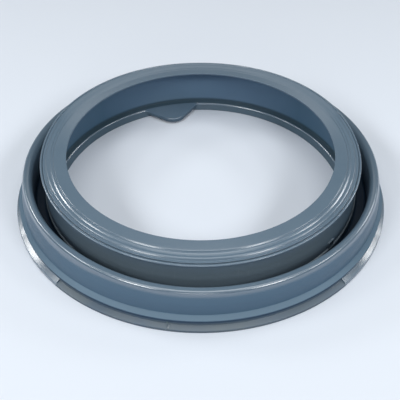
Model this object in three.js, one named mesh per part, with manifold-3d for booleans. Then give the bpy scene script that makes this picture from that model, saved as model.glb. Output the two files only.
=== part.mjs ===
// Washing machine door seal: one rubber moulding, turned round the Z axis, lying on its wide end.
// A flat ring stands on a thin neck. Outside the neck an open channel runs round, closed by an outer
// fold whose wall flares down to a step and a thin base flange. Inside, at the foot of the neck, a
// sloping ledge carries one flat pull tab. A small drain slot goes through the neck.
// Millimetres, +Z up. The origin is the centre of the seal on the surface it lies on.
import * as THREE from "three";
import { mergeVertices } from "three/addons/utils/BufferGeometryUtils.js";
import Module from "manifold-3d";

// Driving dimensions of the whole section
const SEAL_HEIGHT = 61;
const NECK_RADIUS = 162.4; // outer face of the neck
const WALL = 3.2; // rubber in the neck, the fold and the channel's floor
const EDGE_ROUND = 0.8; // small edges

// Ring on top of the neck, from the mouth outwards: flat face, three ridges, a groove and a bead
const FACE_WIDTH = 12.4; // from the mouth to the first ridge
const FACE_FALL = 1.2; // how far the ridges lie below the mouth
const MOUTH_EDGE = 1.9; // thickness of the ring at the mouth
const RING_ROOT = 3.6; // thickness of the ring over the neck's inner face
const RIDGE_WIDTH = 3.4; // from the first ridge to the second
const RIDGE_GROOVE = 0.9; // depth of the groove between them
const DISH_WIDTH = 6.5; // from the second ridge to the third
const DISH_DEPTH = 1;
const SHOULDER_ROUND = 1.8; // third ridge, which falls into the groove
const RIM_GROOVE_WIDTH = 3; // from the third ridge to the bottom of the groove
const RIM_GROOVE_DEPTH = 2.9;
const BEAD_RADIUS = 2.2;
const BEAD_REACH = 2.4; // how far the bead's middle stands outside the neck
const BEAD_DROP = 4.7; // from the mouth's edge down to the bead's middle

// Neck and ledge
const NECK_LINE_HEIGHT = 18.4; // mould line round the foot of the neck
const NECK_LINE_STEP = 0.9;
const LEDGE_ROOT_HEIGHT = 10.5; // where the neck's inner face meets the ledge
const LEDGE_EDGE_HEIGHT = 6.5;
const LEDGE_WIDTH = 4; // sloping top
const LEDGE_UNDERCUT = 4; // the ledge's inner face leans out by this much from foot to edge
const HEEL_WIDTH = 3; // foot of the ledge that stands outside the neck

// Channel and outer fold
const CHANNEL_WIDTH = 12.9; // between the neck and the fold, at the top
const CHANNEL_FLOOR = 8.4; // height of the channel's floor
const CHANNEL_ROUND = 3;
const FOLD_HEIGHT = 41.4;
const FOLD_WIDTH = 9.7; // over both of its walls, at the top
const FOLD_ROLL = 4; // rounding of its top towards the channel
const FOLD_EDGE_ROUND = 1.8; // and towards the outside
const FOLD_LEAN = 0.9; // the fold's inner wall is this much nearer the neck at its foot
const WALL_FLARE = 2.2; // the outer wall spreads by this much down to the step

// Step and base flange
const STEP_TOP = 15.8;
const STEP_EDGE_HEIGHT = 12;
const STEP_WIDTH = 4.4;
const UNDERCUT_DEPTH = 1.8; // behind the step's edge
const FLANGE_ROOT = 4.8; // height of the flange's top where it leaves the undercut
const FLANGE_EDGE = 2.6; // thickness of the flange's outer edge
const FLANGE_REACH = 3.4; // how far the flange stands out past the step's edge
const BASE_WIDTH = 11; // flat underside of the flange

// Pull tab on the ledge: two straight flanks that meet in a rounded tip
const TAB_AZIMUTH = 103.5; // degrees from +X towards +Y
const TAB_REACH = 34; // from the ledge's edge to the point where the flanks would meet
const TAB_ROOT = 63; // width at the ledge
const TAB_TIP_ROUND = 15.5;
const TAB_THICKNESS = 4.5;
const TAB_ROOTING = 3; // how far it runs into the ledge

// Drain slot through the neck, over the mould line
const DRAIN_AZIMUTH = -39.5;
const DRAIN_LENGTH = 7;
const DRAIN_HEIGHT = 3.6;
const DRAIN_OVER_LINE = 5.4; // from the mould line up to the slot's middle

// Facets
const TURN_SEGMENTS = 72;
const ARC_SAG = 0.25; // the facets of a rounded corner may lie this far inside its arc
const DRAIN_END_STEPS = 6; // facets of each half-round end of the drain slot
const CLOSEST = 0.25; // points nearer than this are one point

// Radii and heights that follow from the driving dimensions
const neckInner = NECK_RADIUS - WALL;
const neckFoot = NECK_RADIUS + NECK_LINE_STEP;
const ridgeHeight = SEAL_HEIGHT - FACE_FALL;
const beadMiddle = NECK_RADIUS + BEAD_REACH;
const beadHeight = SEAL_HEIGHT - BEAD_DROP;
const rimGroove = beadMiddle - BEAD_RADIUS;
const thirdRidge = rimGroove - RIM_GROOVE_WIDTH;
const secondRidge = thirdRidge - DISH_WIDTH;
const firstRidge = secondRidge - RIDGE_WIDTH;
const mouthRadius = firstRidge - FACE_WIDTH;
const ledgeEdge = neckInner - LEDGE_WIDTH;
const ledgeFoot = ledgeEdge - LEDGE_UNDERCUT;
const heelRadius = NECK_RADIUS + HEEL_WIDTH;
const foldInner = NECK_RADIUS + CHANNEL_WIDTH;
const foldOuter = foldInner + FOLD_WIDTH;
const cavityInner = foldInner + WALL;
const cavityOuter = foldOuter - WALL;
const cavityRound = FOLD_EDGE_ROUND;
const cavityTop = FOLD_HEIGHT - WALL;
const stepRadius = foldOuter + WALL_FLARE;
const stepEdge = stepRadius + STEP_WIDTH;
const undercut = stepEdge - UNDERCUT_DEPTH;
const flangeRadius = stepEdge + FLANGE_REACH;
const baseInner = flangeRadius - BASE_WIDTH;

// Points of a closed outline with rounded corners. Each corner is [x, y, rounding].
function roundedOutline(corners) {
  const points = corners.flatMap(([x, y, rounding], i) => {
    const corner = new THREE.Vector2(x, y);
    const [before, after] = [corners.at(i - 1), corners[(i + 1) % corners.length]].map(
      ([nx, ny]) => new THREE.Vector2(nx, ny).sub(corner),
    );
    const bend = Math.PI - Math.abs(before.angleTo(after));
    const room = Math.min(before.length(), after.length()) / 2;
    const cut = Math.min(rounding * Math.tan(bend / 2), room);
    if (cut < CLOSEST / 2) return [corner];
    const start = corner.clone().addScaledVector(before.normalize(), cut);
    const end = corner.clone().addScaledVector(after.normalize(), cut);
    const radius = cut / Math.tan(bend / 2);
    const inwards = before.add(after).normalize();
    const middle = corner.clone().addScaledVector(inwards, radius / Math.cos(bend / 2));
    const from = start.sub(middle).angle();
    const full = end.sub(middle).angle() - from;
    const turn = THREE.MathUtils.euclideanModulo(full + Math.PI, 2 * Math.PI) - Math.PI;
    const facet = 2 * Math.acos(1 - Math.min(ARC_SAG / radius, 1));
    const steps = Math.ceil(bend / facet);
    return Array.from({ length: steps + 1 }, (_, k) => {
      const a = from + (turn * k) / steps;
      return new THREE.Vector2(Math.cos(a), Math.sin(a)).multiplyScalar(radius).add(middle);
    });
  });
  return points.filter((p, i) => p.distanceTo(points.at(i - 1)) > CLOSEST);
}

// The ring's top, from the mouth outwards, and the bead round its rim
const ringCorners = [
  [mouthRadius, SEAL_HEIGHT, EDGE_ROUND],
  [firstRidge, ridgeHeight, 0],
  [firstRidge + RIDGE_WIDTH / 2, ridgeHeight - RIDGE_GROOVE, 0],
  [secondRidge, ridgeHeight - RIDGE_GROOVE / 3, 0],
  [secondRidge + DISH_WIDTH / 2, ridgeHeight - DISH_DEPTH, 0],
  [thirdRidge + EDGE_ROUND, ridgeHeight - RIDGE_GROOVE / 2, SHOULDER_ROUND],
  [rimGroove, ridgeHeight - RIM_GROOVE_DEPTH, 0],
  [beadMiddle - BEAD_RADIUS / 3, beadHeight + BEAD_RADIUS, 0],
  [beadMiddle + BEAD_RADIUS, beadHeight + BEAD_RADIUS, BEAD_RADIUS],
  [beadMiddle + BEAD_RADIUS, beadHeight - BEAD_RADIUS, BEAD_RADIUS],
  [NECK_RADIUS, beadHeight - BEAD_RADIUS, EDGE_ROUND],
];

// Down the neck, along the channel's floor and up over the fold
const channelCorners = [
  [NECK_RADIUS, NECK_LINE_HEIGHT + NECK_LINE_STEP, 0],
  [neckFoot, NECK_LINE_HEIGHT, 0],
  [neckFoot, CHANNEL_FLOOR, CHANNEL_ROUND],
  [foldInner - FOLD_LEAN, CHANNEL_FLOOR, CHANNEL_ROUND],
  [foldInner, FOLD_HEIGHT, FOLD_ROLL],
  [foldOuter, FOLD_HEIGHT, FOLD_EDGE_ROUND],
];

// Down the outer wall to the step, the undercut and the flange
const baseCorners = [
  [stepRadius, STEP_TOP, EDGE_ROUND],
  [stepEdge, STEP_EDGE_HEIGHT, EDGE_ROUND],
  [undercut, FLANGE_ROOT + UNDERCUT_DEPTH, 0],
  [undercut, FLANGE_ROOT, 0],
  [flangeRadius, FLANGE_EDGE, EDGE_ROUND / 2],
  [flangeRadius, 0, 0],
  [baseInner, 0, EDGE_ROUND],
];

// Up inside the fold, which is open from below, and back under the channel to the ledge's foot
const undersideCorners = [
  [stepRadius - WALL, STEP_TOP, 0],
  [cavityOuter, cavityTop, cavityRound],
  [cavityInner, cavityTop, cavityRound],
  [cavityInner - FOLD_LEAN, CHANNEL_FLOOR - WALL, CHANNEL_ROUND],
  [heelRadius, CHANNEL_FLOOR - WALL, 0],
  [heelRadius, 0, EDGE_ROUND],
];

// The ledge, the inner face of the neck and the underside of the ring
const insideCorners = [
  [ledgeFoot, 0, EDGE_ROUND],
  [ledgeEdge, LEDGE_EDGE_HEIGHT, EDGE_ROUND],
  [neckInner, LEDGE_ROOT_HEIGHT, EDGE_ROUND],
  [neckInner, ridgeHeight - RING_ROOT, 2 * EDGE_ROUND],
  [mouthRadius, SEAL_HEIGHT - MOUTH_EDGE, 0],
];

// A closed outline turned round Z, as a geometry whose faces point outwards
function turned(corners) {
  const outline = roundedOutline(corners).reverse();
  outline.push(outline[0].clone());
  return new THREE.LatheGeometry(outline, TURN_SEGMENTS).rotateX(Math.PI / 2);
}

// The tab, whose root runs along the ledge and stays inside it
function tabGeometry() {
  const half = TAB_ROOT / 2;
  const root = Math.sqrt(ledgeEdge ** 2 - half ** 2);
  const outline = roundedOutline([
    [ledgeEdge - TAB_REACH, 0, TAB_TIP_ROUND],
    [root, half, 0],
    [root + TAB_ROOTING, half, 0],
    [ledgeEdge + TAB_ROOTING, 0, 0],
    [root + TAB_ROOTING, -half, 0],
    [root, -half, 0],
  ]);
  return new THREE.ExtrudeGeometry(new THREE.Shape(outline), {
    depth: TAB_THICKNESS,
    bevelEnabled: false,
  })
    .translate(0, 0, LEDGE_EDGE_HEIGHT - TAB_THICKNESS)
    .rotateZ(THREE.MathUtils.degToRad(TAB_AZIMUTH));
}

// The drain slot's cutter: a bar along the radius with half-round ends, through the neck
function drainCutter() {
  const radius = DRAIN_HEIGHT / 2;
  const reach = DRAIN_LENGTH / 2 - radius;
  const depth = 2 * (WALL + NECK_LINE_STEP);
  const outline = new THREE.Shape()
    .absarc(reach, 0, radius, -Math.PI / 2, Math.PI / 2, false)
    .absarc(-reach, 0, radius, Math.PI / 2, (3 * Math.PI) / 2, false);
  return new THREE.ExtrudeGeometry(outline, {
    depth,
    bevelEnabled: false,
    curveSegments: DRAIN_END_STEPS,
  })
    .translate(0, 0, NECK_RADIUS - (WALL + depth) / 2)
    .rotateX(Math.PI / 2)
    .rotateZ(Math.PI / 2)
    .translate(0, 0, NECK_LINE_HEIGHT + DRAIN_OVER_LINE)
    .rotateZ(THREE.MathUtils.degToRad(DRAIN_AZIMUTH));
}

const wasm = await Module();
wasm.setup();

// A closed geometry as a solid that can be joined and cut
function solid(geometry) {
  geometry.deleteAttribute("normal");
  geometry.deleteAttribute("uv");
  const merged = mergeVertices(geometry, 1e-4);
  return new wasm.Manifold(
    new wasm.Mesh({
      numProp: 3,
      vertProperties: merged.attributes.position.array,
      triVerts: new Uint32Array(merged.index.array),
    }),
  );
}

// A solid back as a geometry
function geometryOf(body) {
  const { vertProperties, triVerts } = body.getMesh();
  const geometry = new THREE.BufferGeometry()
    .setAttribute("position", new THREE.BufferAttribute(vertProperties, 3))
    .setIndex(new THREE.BufferAttribute(triVerts, 1));
  geometry.computeVertexNormals();
  return geometry;
}

const section = [
  ...ringCorners,
  ...channelCorners,
  ...baseCorners,
  ...undersideCorners,
  ...insideCorners,
];
const body = solid(turned(section))
  .add(solid(tabGeometry()))
  .subtract(solid(drainCutter()));

const rubber = new THREE.MeshStandardMaterial({
  color: 0x66737e,
  roughness: 0.42,
  metalness: 0,
});
const doorSeal = new THREE.Mesh(geometryOf(body), rubber);
doorSeal.name = "door_seal";

const seal = new THREE.Group();
seal.add(doorSeal);

export default seal;
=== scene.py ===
"""Washing machine door seal, one grey rubber moulding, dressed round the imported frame. Metres, +Z up."""
import math

import bpy
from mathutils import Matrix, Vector


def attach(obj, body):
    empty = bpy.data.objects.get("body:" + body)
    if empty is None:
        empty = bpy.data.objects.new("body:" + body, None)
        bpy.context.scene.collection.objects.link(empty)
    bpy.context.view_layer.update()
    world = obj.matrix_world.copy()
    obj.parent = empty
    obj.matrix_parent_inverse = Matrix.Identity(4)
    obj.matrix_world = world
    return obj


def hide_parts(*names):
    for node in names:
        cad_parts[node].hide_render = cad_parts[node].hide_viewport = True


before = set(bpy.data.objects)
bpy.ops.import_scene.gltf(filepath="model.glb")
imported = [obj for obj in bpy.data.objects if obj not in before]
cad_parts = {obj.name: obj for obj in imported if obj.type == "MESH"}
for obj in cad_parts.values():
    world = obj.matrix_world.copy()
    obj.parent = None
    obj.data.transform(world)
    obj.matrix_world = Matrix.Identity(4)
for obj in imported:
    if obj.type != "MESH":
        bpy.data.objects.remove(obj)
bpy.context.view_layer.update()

MM = 0.001

# The section of the seal, in millimetres: each corner is (radius, height, rounding)
MOUTH_AND_RIDGES = [
    (137.7, 60.9, 0.35),
    (148.0, 60.05, 2.0),
    (150.3, 60.0, 1.0),
    (151.3, 58.95, 0.3),
    (152.9, 59.25, 2.1),
    (154.4, 58.3, 0.5),
    (157.7, 58.95, 2.2),
    (159.3, 57.0, 0.3),
    (161.9, 57.3, 0.3),
    (161.3, 55.7, 0.2),
    (161.9, 54.7, 0.3),
    (162.8, 56.5, 0.5),
    (164.7, 56.5, 1.1),
    (164.7, 54.2, 1.0),
]
NECK_AND_CHANNEL = [
    (162.3, 53.9, 0.6),
    (162.2, 40.0, 40.0),
    (162.4, 19.4, 0.6),
    (163.6, 18.5, 1.1),
    (163.5, 8.5, 2.6),
    (174.6, 8.5, 3.0),
]
FOLD_AND_WALL = [
    (175.3, 41.2, 4.0),
    (182.5, 41.45, 2.2),
    (184.2, 40.0, 2.4),
    (186.3, 32.0, 60.0),
    (187.2, 24.0, 60.0),
    (187.2, 15.9, 0.5),
    (191.6, 12.0, 0.7),
    (190.3, 9.2, 1.0),
    (189.8, 4.9, 0.8),
]
FLANGE_AND_CAVITY = [
    (195.0, 2.6, 0.6),
    (195.0, 0.0, 0.3),
    (184.0, 0.0, 0.8),
    (184.2, 12.0, 8.0),
    (182.0, 38.2, 1.7),
    (178.4, 38.2, 1.7),
    (177.9, 5.2, 3.0),
    (165.6, 5.2, 1.2),
    (165.4, 0.0, 0.6),
]
LEDGE_EDGE = (154.4, 7.32, 0.0)
LEDGE_AND_INSIDE = [
    (151.2, 0.0, 0.5),
    LEDGE_EDGE,
    (159.3, 10.3, 0.8),
    (159.0, 40.0, 60.0),
    (159.2, 56.3, 1.6),
    (137.7, 59.0, 0.6),
]
SECTION = MOUTH_AND_RIDGES + NECK_AND_CHANNEL + FOLD_AND_WALL + FLANGE_AND_CAVITY + LEDGE_AND_INSIDE

ARC_STEP = 22.0  # bend between two points of a rounded corner, in degrees
SMALLEST_CUT = 0.02  # a corner that would lose less than this stays sharp
CLOSEST_POINTS = 0.04
TURN_STEPS = 480
SAME_PLACE = 1e-6  # metres
SMOOTH_ANGLE = 50.0

# Rings on the ledge's inner face that become the pull tab: (height, inset from the tab's outline), mm
TAB_RINGS = [
    (2.4, None),
    (2.45, 0.7),
    (2.65, 0.25),
    (3.1, 0.0),
    (6.35, 0.0),
    (6.85, 0.2),
    (7.15, 0.6),
    (7.3, 1.2),
]
LEDGE_ROUNDING = {6.85: 0.03, 7.15: 0.15, 7.3: 0.2}  # how far the ledge's edge stands back at these heights
LEDGE_CREST = 0.9  # the ledge's top starts this far up its slope and stays in place
TAB_AZIMUTH = 103.5
TAB_APEX = 120.6  # radius at which its straight flanks would meet
TAB_FLANK = 45.6  # degrees between a flank and the tab's middle line
TAB_TIP_ROUND = 15.5
TAB_BLEND = 0.4  # soft corner between a flank and the ledge
TAB_HALF_TURN = 0.5  # radians either way of its middle line, past which the ledge stays as it is
TAB_FLANK_STOP = 0.1  # radians before the flank's line would run clear of the tab
CLEAR_OF_TAB = 1000.0  # a reach that leaves the ledge where it is
TAB_RINGS_BOTTOM, TAB_RINGS_TOP, TAB_RINGS_OUTER = 2.3, 7.31, 154.7
RING_TOLERANCE = 0.004
SLOPE_STEP = 1e-3  # radians

# The flange is lower in front of these two places, where it drops in a small step
FRONT = -90.0
STEP_FROM_FRONT = 44.8  # degrees either way
STEP_RISE, STEP_ROOT_RISE = 1.1, 1.9
STEP_FADE, STEP_FADE_CURVE = 23.0, 0.7  # degrees over which the rise runs out again, and how it does
STEP_SHARPNESS = 0.04  # degrees from a step to the columns at either side of it
FLANGE_EDGE_HEIGHT, FLANGE_ROOT_HEIGHT, UNDERCUT_HEIGHT = 2.4, 4.9, 9.0
FLANGE_EDGE_FADE = 0.6  # height over which the edge's rise runs out to the underside
FLANGE_INNER_RADIUS = 189.3
FLANGE_ROOT_START = 4.0  # height from which the root's rise counts
NICK_AZIMUTH = -99.2
NICK_DEPTH, NICK_LIP = 0.8, 0.32

# How the soft moulding lies, mm and degrees; a pair is where a change starts and where it is complete
CHANNEL_MIDDLE = 168.0  # radius that parts the ring and neck from the fold
RING_HEIGHTS = (40.0, 54.0)
RING_HANG, RING_HANG_RADII = 1.3, (146.0, 162.0)
RIDGE_FOOT = 56.0  # corners above this height are the ring's top
RING_TOP = [corner[:2] for corner in MOUTH_AND_RIDGES[1:] if corner[1] > RIDGE_FOOT]
LEVEL_SHARE = 0.84  # how much of the ring's steps is pressed out behind
LEVEL_START, LEVEL_END = (149.0, 60.0), (164.7, 60.7)
LEVEL_RADII, LEVEL_BEHIND = (148.0, 151.0), (0.0, 0.5)
LEVEL_DIP, LEVEL_DIP_AZIMUTH, LEVEL_DIP_SPREAD = 1.0, 88.0, 22.0
FOLD_HEIGHTS = (14.0, 36.0)
FOLD_ROLL, FOLD_ROLL_START, FOLD_ROLL_WIDTH, FOLD_ROLL_CURVE = 2.8, 181.5, 6.2, 1.5
FOLD_ROLL_BEHIND = (-0.9, -0.5)
FOLD_DENT, FOLD_DENT_AZIMUTH, FOLD_DENT_SPREAD = 2.3, -134.0, 27.0

# The drain slot, through the neck just over the mould line, in a pad as thick as the neck's foot
DRAIN_AZIMUTH = -39.5
DRAIN_HEIGHT = 23.8
DRAIN_LENGTH, DRAIN_WIDTH = 7.0, 3.6
PAD_LENGTH, PAD_TOP, PAD_BOTTOM = 10.0, 26.6, 16.0
PAD_RADIUS, PAD_DEPTH, PAD_ROUNDING = 161.8, 3.0, 0.8
SLOT_RADIUS, SLOT_DEPTH = 162.0, 12.0
SLOT_ROUNDING = 0.48  # share of its width
BLOCK_BEVEL_SEGMENTS = 4


def rounded(corners):
    """The points of a closed outline with its corners rounded."""
    points = []
    for i, (x, y, rounding) in enumerate(corners):
        here = Vector((x, y))
        back = Vector(corners[i - 1][:2]) - here
        ahead = Vector(corners[(i + 1) % len(corners)][:2]) - here
        room = 0.5 * min(back.length, ahead.length)
        bend = math.pi - back.angle(ahead)
        cut = min(rounding * math.tan(bend / 2), room)
        if cut < SMALLEST_CUT:
            points.append(here)
            continue
        radius = cut / math.tan(bend / 2)
        middle = here + (back.normalized() + ahead.normalized()).normalized() * radius / math.cos(bend / 2)
        start = here + back.normalized() * cut - middle
        side = 1 if back.cross(ahead) < 0 else -1
        steps = max(2, math.ceil(math.degrees(bend) / ARC_STEP))
        for k in range(steps + 1):
            a = side * bend * k / steps
            turned_x = start.x * math.cos(a) - start.y * math.sin(a)
            turned_y = start.x * math.sin(a) + start.y * math.cos(a)
            points.append(middle + Vector((turned_x, turned_y)))
    return [p for i, p in enumerate(points) if (p - points[i - 1]).length > CLOSEST_POINTS]


def deselect_all():
    if bpy.context.object and bpy.context.object.mode != "OBJECT":
        bpy.ops.object.mode_set(mode="OBJECT")
    bpy.ops.object.select_all(action="DESELECT")


def with_tab_rings(outline):
    """The outline with the tab's rings put on the ledge's inner face."""
    edge = Vector(LEDGE_EDGE[:2])
    at = min(range(len(outline)), key=lambda i: (outline[i] - edge).length)
    low, high = outline[at - 1], outline[at + 1]
    rings = [low.lerp(edge, (z - low.y) / (edge.y - low.y)) for z, _ in TAB_RINGS]
    rings = [ring + Vector((LEDGE_ROUNDING.get(z, 0), 0)) for ring, (z, _) in zip(rings, TAB_RINGS)]
    rings.append(edge + (high - edge).normalized() * LEDGE_CREST)
    return outline[:at] + rings + outline[at + 1 :]


def turned_seal(name):
    """The section drawn point by point and spun round Z."""
    outline = [Vector((p.x, 0, p.y)) * MM for p in with_tab_rings(rounded(SECTION))]
    deselect_all()
    bpy.ops.mesh.primitive_plane_add(size=MM, location=outline[0])
    seal = bpy.context.object
    seal.name = seal.data.name = name
    bpy.ops.object.transform_apply(location=True, rotation=True, scale=True)
    bpy.ops.object.mode_set(mode="EDIT")
    bpy.ops.mesh.select_all(action="SELECT")
    bpy.ops.mesh.merge(type="CENTER")
    for here, ahead in zip(outline, outline[1:]):
        bpy.ops.mesh.extrude_region_move(TRANSFORM_OT_translate={"value": ahead - here})
    bpy.ops.object.mode_set(mode="OBJECT")
    for v in seal.data.vertices:
        v.select = min((v.co - outline[0]).length, (v.co - outline[-1]).length) < SAME_PLACE
    bpy.ops.object.mode_set(mode="EDIT")
    bpy.ops.mesh.edge_face_add()
    bpy.ops.mesh.select_all(action="SELECT")
    bpy.ops.mesh.spin(steps=TURN_STEPS, angle=2 * math.pi, center=(0, 0, 0), axis=(0, 0, 1))
    bpy.ops.mesh.select_all(action="SELECT")
    bpy.ops.mesh.remove_doubles(threshold=SAME_PLACE)
    bpy.ops.mesh.normals_make_consistent(inside=False)
    bpy.ops.object.mode_set(mode="OBJECT")
    return seal


def tab_reach(turn):
    """Radius of the tab's edge at this angle from its middle line, mm and radians."""
    flank = math.radians(TAB_FLANK)
    middle = TAB_APEX + TAB_TIP_ROUND / math.sin(flank)
    touch = math.atan2(TAB_TIP_ROUND * math.cos(flank), middle - TAB_TIP_ROUND * math.sin(flank))
    if abs(turn) < touch:
        return middle * math.cos(turn) - math.sqrt(TAB_TIP_ROUND**2 - (middle * math.sin(turn)) ** 2)
    if abs(turn) > flank - TAB_FLANK_STOP:
        return CLEAR_OF_TAB
    return TAB_APEX * math.sin(flank) / math.sin(flank - abs(turn))


def soft_min(a, b, blend):
    if abs(a - b) >= blend:
        return min(a, b)
    return min(a, b) - (blend - abs(a - b)) ** 2 / (4 * blend)


def draw_out_tab(seal):
    """Pulls the tab's rings inwards, so that the tab grows out of the ledge."""
    for v in seal.data.vertices:
        z, r = v.co.z / MM, math.hypot(v.co.x, v.co.y) / MM
        if r > TAB_RINGS_OUTER or not TAB_RINGS_BOTTOM < z < TAB_RINGS_TOP:
            continue
        inset = next((inset for height, inset in TAB_RINGS if abs(height - z) < RING_TOLERANCE), None)
        if inset is None:
            continue
        turn = math.atan2(v.co.y, v.co.x) - math.radians(TAB_AZIMUTH)
        turn = (turn + math.pi) % (2 * math.pi) - math.pi
        if abs(turn) > TAB_HALF_TURN:
            continue
        reach = tab_reach(turn)
        slope = (tab_reach(turn + SLOPE_STEP) - tab_reach(turn - SLOPE_STEP)) / (2 * SLOPE_STEP)
        edge = reach + inset * math.sqrt(1 + (slope / reach) ** 2)
        scale = soft_min(r, edge, TAB_BLEND) / r
        v.co.x *= scale
        v.co.y *= scale


def flange_share(z):
    """How much of the flange's rise a point at this height takes, so that the surface never folds."""
    if z < FLANGE_EDGE_HEIGHT:
        return max(0, 1 - (FLANGE_EDGE_HEIGHT - z) / FLANGE_EDGE_FADE)
    return min(1, max(0, (UNDERCUT_HEIGHT - z) / (UNDERCUT_HEIGHT - FLANGE_ROOT_HEIGHT)))


def mark_flange(seal):
    """Raises the flange's sides up to a small step at either side of the front, and nicks its edge."""
    column = 360 / TURN_STEPS
    for v in seal.data.vertices:
        r, z = math.hypot(v.co.x, v.co.y) / MM, v.co.z / MM
        if r < FLANGE_INNER_RADIUS or z > UNDERCUT_HEIGHT:
            continue
        azimuth = math.degrees(math.atan2(v.co.y, v.co.x))
        turn = (azimuth - FRONT + 180) % 360 - 180
        past = abs(turn) - STEP_FROM_FRONT
        if abs(past) < column:
            past = math.copysign(STEP_SHARPNESS, past)
            a = math.radians(FRONT + math.copysign(STEP_FROM_FRONT + past, turn))
            v.co.x, v.co.y = r * MM * math.cos(a), r * MM * math.sin(a)
        if past > 0:
            rise = STEP_ROOT_RISE if z > FLANGE_ROOT_START else STEP_RISE
            v.co.z += rise * MM * flange_share(z) * max(0, 1 - past / STEP_FADE) ** STEP_FADE_CURVE
        beside = (azimuth - NICK_AZIMUTH) / column
        if abs(beside) < 0.5:
            v.co.z -= NICK_DEPTH * MM * flange_share(z)
            v.co.x *= 1 - NICK_DEPTH * flange_share(z) / r
            v.co.y *= 1 - NICK_DEPTH * flange_share(z) / r
        elif 0.5 <= beside < 1.5:
            v.co.z += NICK_LIP * MM * flange_share(z)


def settled(x, start, end):
    """0 before the start, 1 past the end, with a smooth run between them."""
    x = min(1, max(0, (x - start) / (end - start)))
    return x * x * (3 - 2 * x)


def between(points, x):
    """The height of a line through these points at x."""
    for (x1, y1), (x2, y2) in zip(points, points[1:]):
        if x <= x2:
            return y1 + (y2 - y1) * max(0, x - x1) / (x2 - x1)
    return points[-1][1]


def bell(azimuth, middle, spread):
    """1 at the middle, falling off to both sides."""
    return math.exp(-(((azimuth - middle) / spread) ** 2))


def slump(seal):
    """The soft moulding as it lies: the ring hangs in front and is level behind, the fold is dented."""
    for v in seal.data.vertices:
        r, z = math.hypot(v.co.x, v.co.y) / MM, v.co.z / MM
        azimuth = math.degrees(math.atan2(v.co.y, v.co.x))
        behind = math.sin(math.radians(azimuth))
        on_ring = settled(z, *RING_HEIGHTS) * (r < CHANNEL_MIDDLE)
        if on_ring and behind < 0:
            v.co.z += RING_HANG * behind * settled(r, *RING_HANG_RADII) * on_ring * MM
        elif on_ring:
            dip = LEVEL_DIP * bell(azimuth, LEVEL_DIP_AZIMUTH, LEVEL_DIP_SPREAD)
            level = between([LEVEL_START, (LEVEL_END[0], LEVEL_END[1] - dip)], r)
            lift = settled(behind, *LEVEL_BEHIND) * LEVEL_SHARE * (level - between(RING_TOP, r))
            v.co.z += lift * settled(r, *LEVEL_RADII) * on_ring * MM
        on_fold = settled(z, *FOLD_HEIGHTS) * (r > CHANNEL_MIDDLE)
        on_roll = on_fold * (r < FOLD_ROLL_START) * settled(behind, *FOLD_ROLL_BEHIND)
        if on_roll:
            inwards = (FOLD_ROLL_START - r) / FOLD_ROLL_WIDTH
            v.co.z -= FOLD_ROLL * inwards**FOLD_ROLL_CURVE * on_roll * MM
        if on_fold:
            dent = FOLD_DENT * bell(azimuth, FOLD_DENT_AZIMUTH, FOLD_DENT_SPREAD)
            v.co.x *= 1 - dent * on_fold / r
            v.co.y *= 1 - dent * on_fold / r


def finish_with(piece, kind, **settings):
    """Puts one modifier on a piece and applies it."""
    deselect_all()
    piece.select_set(True)
    bpy.context.view_layer.objects.active = piece
    bpy.ops.object.modifier_add(type=kind)
    modifier = piece.modifiers[-1]
    for key, value in settings.items():
        setattr(modifier, key, value)
    bpy.ops.object.modifier_apply(modifier=modifier.name)


def on_neck(radius, height, size, bevel):
    """A block on the neck at the drain with rounded edges, sized (out, along, up)."""
    deselect_all()
    turn = math.radians(DRAIN_AZIMUTH)
    bpy.ops.mesh.primitive_cube_add(size=MM)
    block = bpy.context.object
    block.scale = size
    bpy.ops.object.transform_apply(location=False, rotation=False, scale=True)
    finish_with(block, "BEVEL", width=bevel * MM, segments=BLOCK_BEVEL_SEGMENTS, limit_method="NONE")
    block.location = (radius * MM * math.cos(turn), radius * MM * math.sin(turn), height * MM)
    block.rotation_euler.z = turn
    bpy.ops.object.transform_apply(location=True, rotation=True, scale=True)
    return block


def join_or_cut(piece, tool, operation):
    finish_with(piece, "BOOLEAN", operation=operation, object=tool, solver="MANIFOLD")
    bpy.data.objects.remove(tool)


seal = turned_seal("seal_rubber")
draw_out_tab(seal)
mark_flange(seal)
slump(seal)
pad_size = (PAD_DEPTH, PAD_LENGTH, PAD_TOP - PAD_BOTTOM)
pad = on_neck(PAD_RADIUS, (PAD_TOP + PAD_BOTTOM) / 2, pad_size, PAD_ROUNDING)
join_or_cut(seal, pad, "UNION")
slot_size = (SLOT_DEPTH, DRAIN_LENGTH, DRAIN_WIDTH)
slot = on_neck(SLOT_RADIUS, DRAIN_HEIGHT, slot_size, SLOT_ROUNDING * DRAIN_WIDTH)
join_or_cut(seal, slot, "DIFFERENCE")
deselect_all()
seal.select_set(True)
bpy.context.view_layer.objects.active = seal
bpy.ops.object.shade_smooth_by_angle(angle=math.radians(SMOOTH_ANGLE))
finish_with(seal, "WEIGHTED_NORMAL", keep_sharp=True, mode="FACE_AREA_WITH_ANGLE")


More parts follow.
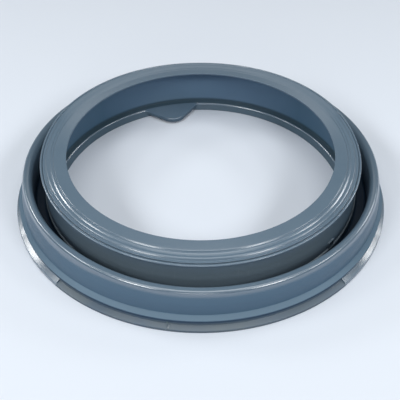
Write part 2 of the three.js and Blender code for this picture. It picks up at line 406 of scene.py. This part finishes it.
class Link:
    """One socket of a material, with the sums and products that are written with it."""

    def __init__(self, tree, socket):
        self.tree, self.socket = tree, socket

    def maths(self, operation, *values):
        return self.tree.node("ShaderNodeMath", {"operation": operation}, *values)

    def __add__(self, other):
        return self.maths("ADD", self, other)

    def __radd__(self, other):
        return self.maths("ADD", other, self)

    def __sub__(self, other):
        return self.maths("SUBTRACT", self, other)

    def __rsub__(self, other):
        return self.maths("SUBTRACT", other, self)

    def __mul__(self, other):
        return self.maths("MULTIPLY", self, other)

    def __rmul__(self, other):
        return self.maths("MULTIPLY", other, self)

    def __truediv__(self, other):
        return self.maths("DIVIDE", self, other)

    def clamped(self):
        return self.tree.node("ShaderNodeClamp", {}, self)

    def size(self):
        return self.maths("ABSOLUTE", self)

    def spread(self, gain, offset):
        return (self * gain - offset).clamped()

    def above(self, start, blend):
        """0 up to the start, 1 from the start plus the blend on."""
        return ((self - start) / blend).clamped()

    def below(self, end, blend):
        """1 up to the end less the blend, 0 from the end on."""
        return ((end - self) / blend).clamped()


class Finish:
    """A material and the one way its nodes are made."""

    def __init__(self, name):
        self.material = bpy.data.materials.new(name)
        self.material.use_nodes = True
        self.tree = self.material.node_tree
        self.shader = self.tree.nodes["Principled BSDF"]

    def node(self, kind, settings, *values, output=0, **named):
        node = self.tree.nodes.new(kind)
        for key, value in settings.items():
            setattr(node, key, value)
        for key, value in [*enumerate(values), *named.items()]:
            self.feed(node.inputs[key], value)
        return Link(self, node.outputs[output])

    def feed(self, socket, value):
        if isinstance(value, Link):
            self.tree.links.new(value.socket, socket)
        else:
            socket.default_value = value

    def set(self, name, value):
        self.feed(self.shader.inputs[name], value)

    def place(self):
        return self.node("ShaderNodeTexCoord", {}, output="Object")

    def noise(self, place, scale, detail=2.0):
        return self.node("ShaderNodeTexNoise", {}, Vector=place, Scale=scale, Detail=detail, output="Fac")

    def vector(self, operation, *values, output=0):
        return self.node("ShaderNodeVectorMath", {"operation": operation}, *values, output=output)

    def mix(self, factor, one, other):
        node = self.tree.nodes.new("ShaderNodeMix")
        node.data_type = "RGBA"
        for socket, value in zip((node.inputs[0], node.inputs[6], node.inputs[7]), (factor, one, other)):
            self.feed(socket, value)
        return Link(self, node.outputs[2])


# Where the finish changes, in millimetres like the section: (start or end, width of the change)
LOW_END, FOOT_START = (8.5, 3.0), (180.0, 5.0)
STEP_TOP, STEP_INNER = (16.5, 1.5), (186.8, 0.8)
FLANGE_TOP = (7.8, 0.6)
UNDERCUT_BOTTOM, UNDERCUT_TOP, BAND_BOTTOM = (7.4, 0.6), (11.0, 0.6), (11.2, 0.6)
WALL_INNER, WALL_BOTTOM, WALL_TOP = (183.0, 0.8), (9.5, 1.0), (38.0, 3.0)
WALL_FOOT_BOTTOM, WALL_FOOT_TOP = (15.5, 0.5), (34.0, 18.0)
CHANNEL_INNER, CHANNEL_OUTER, CHANNEL_TOP = (161.2, 0.5), (176.8, 0.5), (34.0, 20.0)
MOULD_LINE_INNER, MOULD_LINE_OUTER = (161.0, 0.3), (164.2, 0.3)
MOULD_LINE_BOTTOM, MOULD_LINE_TOP = (17.2, 0.4), (19.6, 0.4)
NECK_INNER, NECK_OUTER, NECK_TOP = (160.5, 1.0), (165.5, 1.0), (52.8, 0.4)
RIDGES_INNER, RIDGES_BOTTOM = (149.5, 1.0), (54.0, 1.0)
MOUTH_EDGE_OUTER, MOUTH_EDGE_BOTTOM = (138.2, 0.3), (50.0, 1.0)
INSIDE_OUTER, INSIDE_TOP = (160.5, 0.8), (55.5, 2.0)
FOOT_BAND_INNER, FOOT_BAND_TOP = (154.9, 0.4), (13.8, 3.0)
LEDGE_EDGE_OUTER, LEDGE_EDGE_BOTTOM = (155.6, 0.4), (6.4, 0.3)
LEDGE_FACE_OUTER, LEDGE_FACE_TOP = (155.0, 0.4), (6.6, 0.4)
TICK_HALF_WIDTH, TICK_BOTTOM = (0.7, 0.3), (4.0, 0.6)
SLOT_REACH, SLOT_BOTTOM, SLOT_TOP = (4.1, 0.3), (21.9, 0.1), (25.7, 0.1)

# The same round the seal, by the sine of the azimuth, which is -1 in front and 1 behind
FRONT_END, NECK_LIGHT_END, RIDGES_FRONT_END = (-0.7095, 0.0005), (-0.45, 0.35), (-0.72, 0.16)
WALL_SIDE_START, BACK_START = (-0.8, 0.3), (0.70, 0.25)

# Colours of the rubber, and of the light, shade and reflections painted on it, linear
SLATE, PALER_SLATE = (0.103, 0.164, 0.226, 1), (0.118, 0.181, 0.244, 1)
MOTTLE_GREY = (0.132, 0.193, 0.248, 1)
NECK_FRONT_LIGHT_GREY, SCUFF_GREY = (0.182, 0.240, 0.280, 1), (0.240, 0.290, 0.330, 1)
SMUDGE_DARK, SMUDGE_WARM = (0.112, 0.152, 0.196, 1), (0.150, 0.182, 0.196, 1)
UNDERCUT_SHADE, LIT_BAND_GREY = (0.030, 0.065, 0.115, 1), (0.230, 0.290, 0.340, 1)
INSIDE_SHADE_AND_REFLECTION_BLUE, BACK_PAINTED_LIGHT_BLUE = (0.062, 0.140, 0.216, 1), (0.180, 0.280, 0.390, 1)
FOOT_BAND_SHADE, LEDGE_FACE_LIT_GREY = (0.014, 0.030, 0.036, 1), (0.090, 0.132, 0.162, 1)
NICK_GLINT_GREY = (0.250, 0.320, 0.290, 1)
CHANNEL_SHADE, SLOT_SHADE = (0.005, 0.018, 0.042, 1), (0.006, 0.012, 0.018, 1)
WALL_REFLECTION_BLUE, WALL_SIDE_SHADE, WALL_FOOT_SHADE = (
    (0.112, 0.210, 0.300, 1),
    (0.050, 0.100, 0.150, 1),
    (0.055, 0.120, 0.185, 1),
)
MOULD_LINE_HIGHLIGHT_GREY = (0.360, 0.430, 0.470, 1)

# Noises: (scale, detail)
BROAD, MOTTLE, SCUFF, GRAIN = (22.0, 3.0), (160.0, 3.0), (420.0, 2.0), (2600.0, 2.0)
SCUFF_STRETCH = (1, 1, 0.16)
SCUFF_START = (0.66, 0.05)
BROAD_SPREAD, MOTTLE_SPREAD, SMUDGE_SPREAD = (1.6, 0.3), (0.5, 0.12), (4, 1.5)
GRAIN_STRENGTH, GRAIN_DEPTH = 0.04, 0.00008

RUBBER_ROUGHNESS, RUBBER_IOR = 0.34, 1.33
MOTTLE_ROUGHNESS, MATT_ROUGHNESS, SCUFF_ROUGHNESS = 0.08, 0.25, 0.1
COAT_WEIGHT, COAT_ROUGHNESS, COAT_IOR = 0.95, 0.2, 2.1


def at_azimuth(degrees, radius, height):
    turn = math.radians(degrees)
    return (radius * math.cos(turn), radius * math.sin(turn), height)


NECK_LIGHT_ON_CHANNEL = 0.45  # how much of the channel's painted shade the painted light on the neck's front keeps off

NICK_SIDEWAYS = at_azimuth(NICK_AZIMUTH - 90, 1, 0)
DRAIN_CENTRE = at_azimuth(DRAIN_AZIMUTH, PAD_RADIUS, DRAIN_HEIGHT)


def rubber_finish():
    """Satin grey rubber: soft mottle, faint grain, a dull foot, with painted light on the neck's front,
    painted shade in the folds and hollows, and painted light, shade and reflections on the walls.
    """
    finish = Finish("grey_rubber")
    place = finish.place()
    broad = finish.noise(place, *BROAD)
    mottle = finish.noise(place, *MOTTLE)
    in_mm = finish.vector("MULTIPLY", place, (1 / MM, 1 / MM, 1 / MM))
    radius = finish.vector("LENGTH", finish.vector("MULTIPLY", in_mm, (1, 1, 0)), output=1)
    height = finish.node("ShaderNodeSeparateXYZ", {}, in_mm, output=2)
    behind = finish.node("ShaderNodeSeparateXYZ", {}, in_mm, output=1) / radius

    # The foot: step, band, undercut and flange
    low = height.below(*LOW_END)
    front = behind.below(*FRONT_END)
    front_foot = low * radius.above(*FOOT_START) * front
    step = height.below(*STEP_TOP) * radius.above(*STEP_INNER)
    matt = step * (1 - height.below(*FLANGE_TOP) * (1 - front))
    undercut = step * height.below(*UNDERCUT_TOP) * height.above(*UNDERCUT_BOTTOM)
    # Painted light: the step's band is coloured lighter, as it faces the light
    lit_band = step * height.above(*BAND_BOTTOM)
    beside_nick = finish.vector("DOT_PRODUCT", in_mm, NICK_SIDEWAYS, output=1).size()
    # Painted highlight: a light tick where the flange's nick catches the light
    nick_glint = beside_nick.below(*TICK_HALF_WIDTH) * front_foot * height.above(*TICK_BOTTOM)

    # The outer wall and the channel
    wall = radius.above(*WALL_INNER) * height.below(*WALL_TOP) * height.above(*WALL_BOTTOM)
    # Painted shade: the outer wall is darker at its sides
    shaded_wall_side = wall * behind.above(*WALL_SIDE_START)
    # Painted shade: the outer wall grows darker towards its bottom
    shaded_wall_foot = wall * height.below(*WALL_FOOT_TOP) * height.above(*WALL_FOOT_BOTTOM)
    mould_line = height.above(*MOULD_LINE_BOTTOM) * height.below(*MOULD_LINE_TOP)
    mould_line = mould_line * radius.below(*MOULD_LINE_OUTER) * radius.above(*MOULD_LINE_INNER)
    neck = radius.below(*NECK_OUTER) * radius.above(*NECK_INNER) * height.below(*NECK_TOP)
    # Painted light: the front of the neck is coloured lighter, where the lamps fall on it
    lit_neck_front = neck * behind.below(*NECK_LIGHT_END)
    scuff = finish.noise(finish.vector("MULTIPLY", place, SCUFF_STRETCH), *SCUFF)
    scuff = scuff.above(*SCUFF_START) * neck * (1 - low)
    channel = height.below(*CHANNEL_TOP) * radius.above(*CHANNEL_INNER) * radius.below(*CHANNEL_OUTER)
    channel = channel * (1 - mould_line) * (1 - lit_neck_front * NECK_LIGHT_ON_CHANNEL)
    from_drain = finish.vector("DISTANCE", in_mm, DRAIN_CENTRE, output=1)
    slot_walls = from_drain.below(*SLOT_REACH) * height.above(*SLOT_BOTTOM) * height.below(*SLOT_TOP)

    # The ring, the inner wall and the ledge
    ridges = radius.above(*RIDGES_INNER) * height.above(*RIDGES_BOTTOM)
    ridges_front = ridges * behind.below(*RIDGES_FRONT_END)
    mouth_edge = radius.below(*MOUTH_EDGE_OUTER) * height.above(*MOUTH_EDGE_BOTTOM)
    ledge_edge = height.above(*LEDGE_EDGE_BOTTOM) * radius.below(*LEDGE_EDGE_OUTER)
    inside = radius.below(*INSIDE_OUTER) * height.below(*INSIDE_TOP) * (1 - ledge_edge)
    # Painted light: the upper back of the inner wall is coloured lighter and bluer
    inner_back = inside * behind.above(*BACK_START)
    foot_band = inside * radius.above(*FOOT_BAND_INNER) * height.below(*FOOT_BAND_TOP)
    ledge_face = inside * radius.below(*LEDGE_FACE_OUTER) * height.below(*LEDGE_FACE_TOP)

    colour = finish.mix(broad.spread(*BROAD_SPREAD), SLATE, PALER_SLATE)
    colour = finish.mix(mottle.spread(*MOTTLE_SPREAD), colour, MOTTLE_GREY)
    smudged = finish.mix(broad.spread(*SMUDGE_SPREAD), SMUDGE_DARK, SMUDGE_WARM)
    for mask, share, layer in [
        # painted light on the front of the neck
        (lit_neck_front, 0.65, NECK_FRONT_LIGHT_GREY),
        # painted shade in the undercut
        (undercut, 0.75, UNDERCUT_SHADE),
        # painted light on the step's band
        (lit_band, 0.6, LIT_BAND_GREY),
        # painted shade and painted blue floor reflection on the whole inside
        (inside, 0.8, INSIDE_SHADE_AND_REFLECTION_BLUE),
        # painted light on the back of the inner wall
        (inner_back, 0.65, BACK_PAINTED_LIGHT_BLUE),
        # painted shade on the ledge's top and the foot of the inner wall, under the ring
        (foot_band, 0.75, FOOT_BAND_SHADE),
        # the ledge's inner face painted a lighter, greyer tone, as it is lit
        (ledge_face, 0.8, LEDGE_FACE_LIT_GREY),
        (front_foot, 0.7, smudged),
        # painted highlight on the nick
        (nick_glint, 0.6, NICK_GLINT_GREY),
        (scuff, 0.25, SCUFF_GREY),
        # painted shade deep in the channel
        (channel, 0.9, CHANNEL_SHADE),
        # painted reflection: the outer wall coloured lighter and bluer, as the blue floor reflected in it
        (wall, 0.5, WALL_REFLECTION_BLUE),
        # painted shade in the drain slot
        (slot_walls, 0.85, SLOT_SHADE),
        # painted shade on the sides of the outer wall
        (shaded_wall_side, 0.35, WALL_SIDE_SHADE),
        # painted highlight along the mould line
        (mould_line, 0.7, MOULD_LINE_HIGHLIGHT_GREY),
        # painted shade on the lower outer wall
        (shaded_wall_foot, 0.25, WALL_FOOT_SHADE),
    ]:
        colour = finish.mix(mask * share, colour, layer)

    coat = COAT_WEIGHT
    for mask, share in [
        (matt, 0.75),
        (mouth_edge, 0.8),
        (inside, 0.95),
        (channel, 0.85),
        (slot_walls, 0.6),
        (ridges_front, 0.35),
        (wall, 0.9),
    ]:
        coat = coat - mask * share

    roughness = RUBBER_ROUGHNESS + mottle * MOTTLE_ROUGHNESS + matt * MATT_ROUGHNESS
    roughness = roughness + scuff * SCUFF_ROUGHNESS
    grain = finish.noise(place, *GRAIN)
    bump = finish.node("ShaderNodeBump", {}, Strength=GRAIN_STRENGTH, Distance=GRAIN_DEPTH, Height=grain)
    finish.set("Base Color", colour)
    finish.set("Roughness", roughness.clamped())
    finish.set("IOR", RUBBER_IOR)
    finish.set("Coat Weight", coat.clamped())
    finish.set("Coat Roughness", COAT_ROUGHNESS)
    finish.set("Coat IOR", COAT_IOR)
    finish.set("Normal", bump)
    return finish.material


seal.data.materials.clear()
seal.data.materials.append(rubber_finish())
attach(seal, "root")
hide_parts("door_seal")

# Floor: pale to the camera and in reflections, dimmer in the light that it throws back
FLOOR_SIZE = 12
FLOOR_PALE, FLOOR_DIM, FLOOR_ROUGHNESS = (0.72, 0.78, 0.86, 1), (0.10, 0.18, 0.34, 1), 0.7
deselect_all()
bpy.ops.mesh.primitive_plane_add(size=FLOOR_SIZE)
floor = bpy.context.object
floor.name = "floor"
floor_finish = Finish("pale_floor")
rays = floor_finish.tree.nodes.new("ShaderNodeLightPath").outputs
seen = Link(floor_finish, rays["Is Camera Ray"])
for name in ("Is Glossy Ray", "Is Transmission Ray"):
    seen = seen + Link(floor_finish, rays[name])
floor_finish.set("Base Color", floor_finish.mix(seen.clamped(), FLOOR_DIM, FLOOR_PALE))
floor_finish.set("Roughness", FLOOR_ROUGHNESS)
floor.data.materials.append(floor_finish.material)

# Camera
CAMERA_PLACE = (-0.00065, -0.6535, 0.5664)
CAMERA_TILT = 48.445  # degrees up from straight down
LENS, SENSOR_WIDTH = 72, 36
bpy.ops.object.camera_add(location=CAMERA_PLACE, rotation=(math.radians(CAMERA_TILT), 0, 0))
camera = bpy.context.object
camera.data.lens = LENS
camera.data.sensor_width = SENSOR_WIDTH
camera.data.dof.use_dof = False
bpy.context.scene.camera = camera

# Lights: (azimuth, elevation, width, height, watts)
LAMP_DISTANCE = 1.7
SOFTBOXES = [
    (-47, 40, 0.50, 0.36, 7.0),
    (-131, 40, 0.50, 0.36, 7.0),
    (155, 32, 0.50, 0.26, 5.0),
    (-173, 42, 0.50, 0.26, 4.0),
    (27, 32, 0.56, 0.26, 4.0),
    (-8, 42, 0.50, 0.26, 3.5),
    (86, 72, 0.40, 0.20, 0.6),
    (90, 31, 1.20, 0.25, 0.6),
    (-93, 20, 0.60, 0.30, 2.5),
    (0, 90, 1.60, 1.60, 13.0),
]
for azimuth, elevation, width, tall, watts in SOFTBOXES:
    up = math.radians(elevation)
    place = Vector(at_azimuth(azimuth, math.cos(up), math.sin(up))) * LAMP_DISTANCE
    bpy.ops.object.light_add(type="AREA", location=place, rotation=place.to_track_quat("Z", "Y").to_euler())
    lamp = bpy.context.object
    lamp.data.shape = "RECTANGLE"
    lamp.data.size = width
    lamp.data.size_y = tall
    lamp.data.energy = watts

WORLD_STRENGTH = 0.05
world = bpy.data.worlds.new("studio")
bpy.context.scene.world = world
world.use_nodes = True
sky = world.node_tree.nodes["Background"].inputs
sky["Color"].default_value = (1, 1, 1, 1)
sky["Strength"].default_value = WORLD_STRENGTH
bpy.context.scene.view_settings.view_transform = "Standard"
